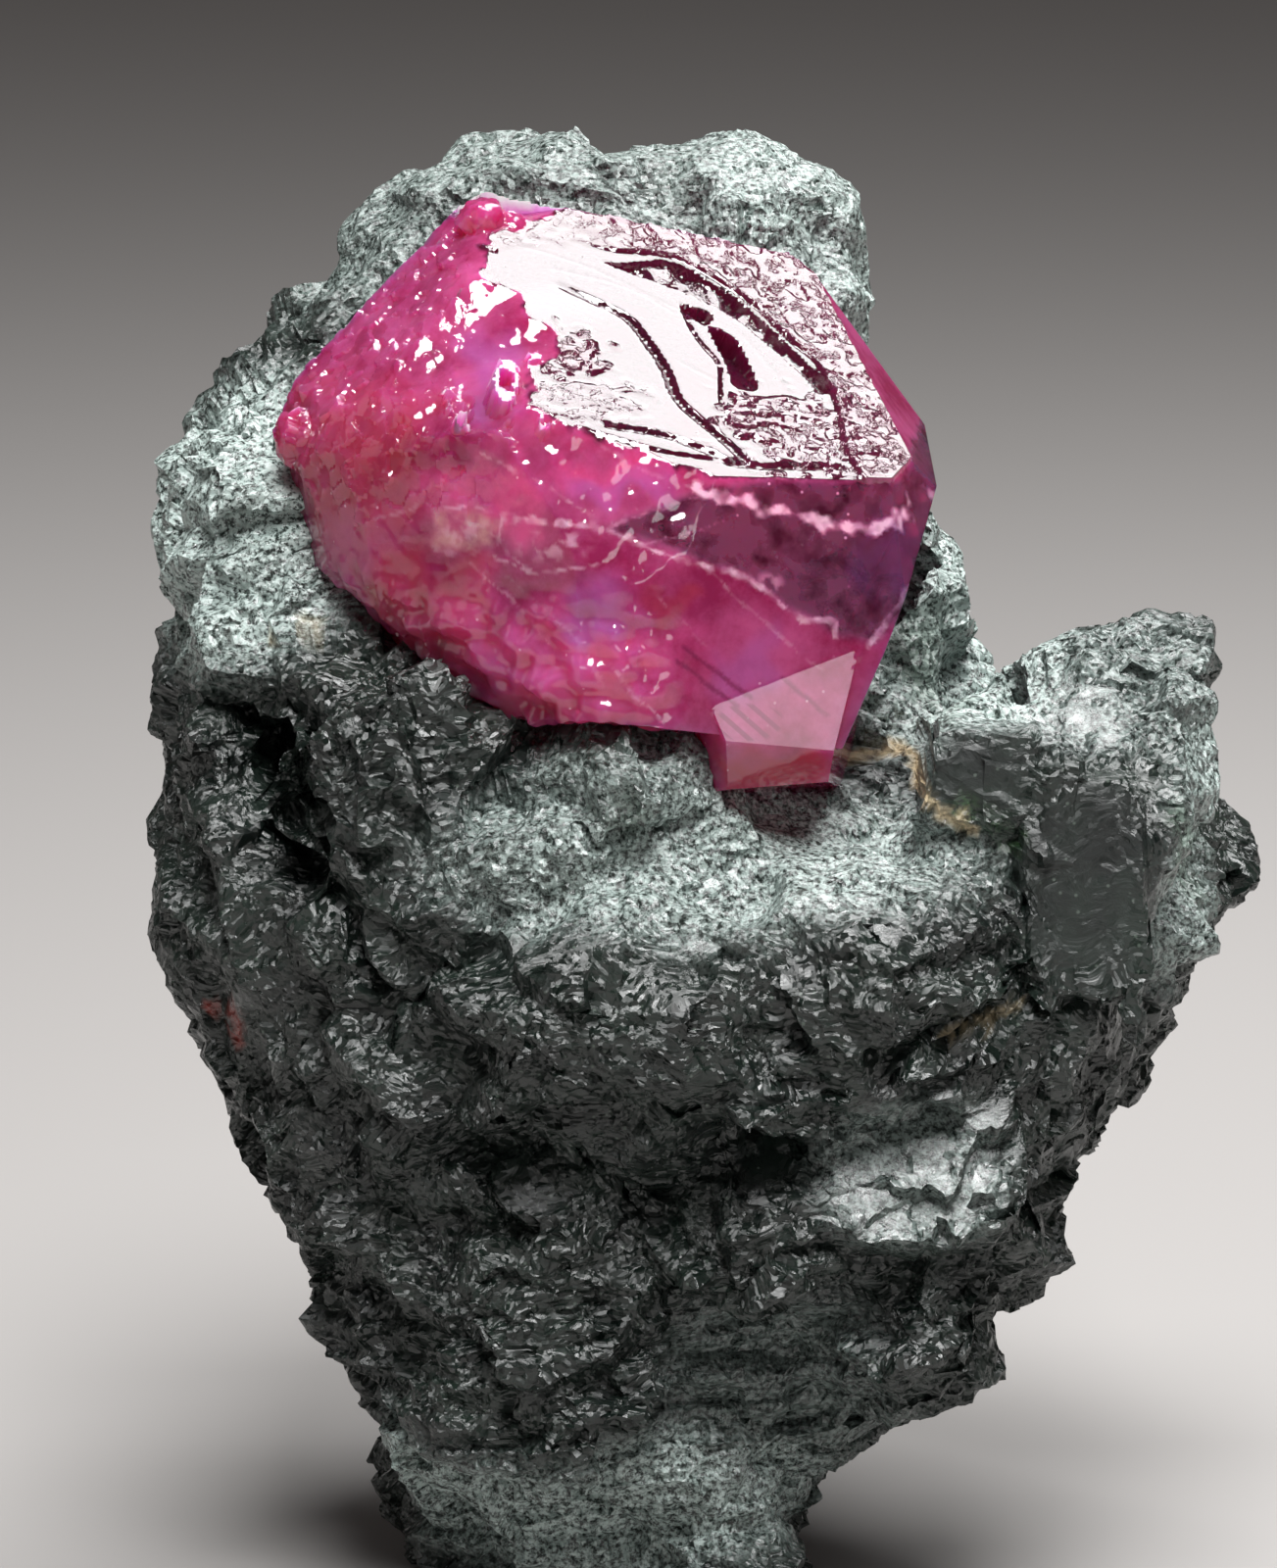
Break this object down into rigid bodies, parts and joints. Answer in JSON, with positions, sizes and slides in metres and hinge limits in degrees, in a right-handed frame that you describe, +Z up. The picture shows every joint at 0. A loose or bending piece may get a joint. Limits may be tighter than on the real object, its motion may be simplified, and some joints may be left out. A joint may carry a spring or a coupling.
{
  "type": "ruby crystal on matrix",
  "caption": "Stubby ruby crystal with a large mirror-flat face, nested in a ledge of dark green-black amphibole rock that stands on a flat cut.",
  "frame": {"origin": "centre of the specimen's plan box, at the flat cut that it stands on", "axes": "+Z up, towards the rock wall behind the crystal; -Y out of the front, where the crystal's mirror face looks; +X to the viewer's right"},
  "size_m": [0.0206, 0.0172, 0.0265],
  "materials": {
    "matrix": "granular dark green-black amphibole, glinting cleavage faces, grey-green where it catches light",
    "ruby": "translucent pink-red corundum with violet zones, glassy flat faces and finely etched sides"
  },
  "bodies": {
    "root": {"matrix": "matrix", "ruby_crystal": "ruby"}
  },
  "joints": []
}
